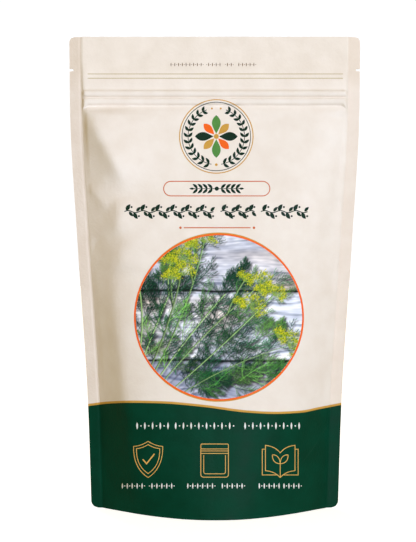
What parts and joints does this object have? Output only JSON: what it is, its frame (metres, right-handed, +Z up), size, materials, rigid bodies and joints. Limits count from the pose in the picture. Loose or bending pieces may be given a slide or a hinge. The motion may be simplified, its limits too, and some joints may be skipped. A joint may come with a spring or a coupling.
{
  "type": "stand-up seed pouch",
  "caption": "Filled stand-up pouch of herb seeds with side and top welds, tear notches, a press-to-close zip and an opened base gusset.",
  "frame": {"origin": "middle of the base, in the plane that the pouch stands on", "axes": "+Z up towards the sealed top edge, -Y towards the printed front, +X to the right as seen from the front"},
  "size_m": [0.13, 0.0558, 0.21],
  "materials": {
    "film_cream": "soft matte printed laminate film, cream, faint paper-like mottling, green band and gold line below",
    "film_green": "soft matte printed laminate film, deep bottle green",
    "print_ink": "flat print on the film: gold, orange, greens and pale grey",
    "zip_plastic": "milky extruded polyethylene",
    "seed_coat": "dry brown seed coats with pale ribs"
  },
  "bodies": {
    "root": {"front_panel": "film_cream", "back_panel": "film_cream", "bottom_gusset": "film_green", "zip_channel_track": "zip_plastic", "zip_rib_track": "zip_plastic", "seed_heap": "seed_coat"}
  },
  "joints": []
}
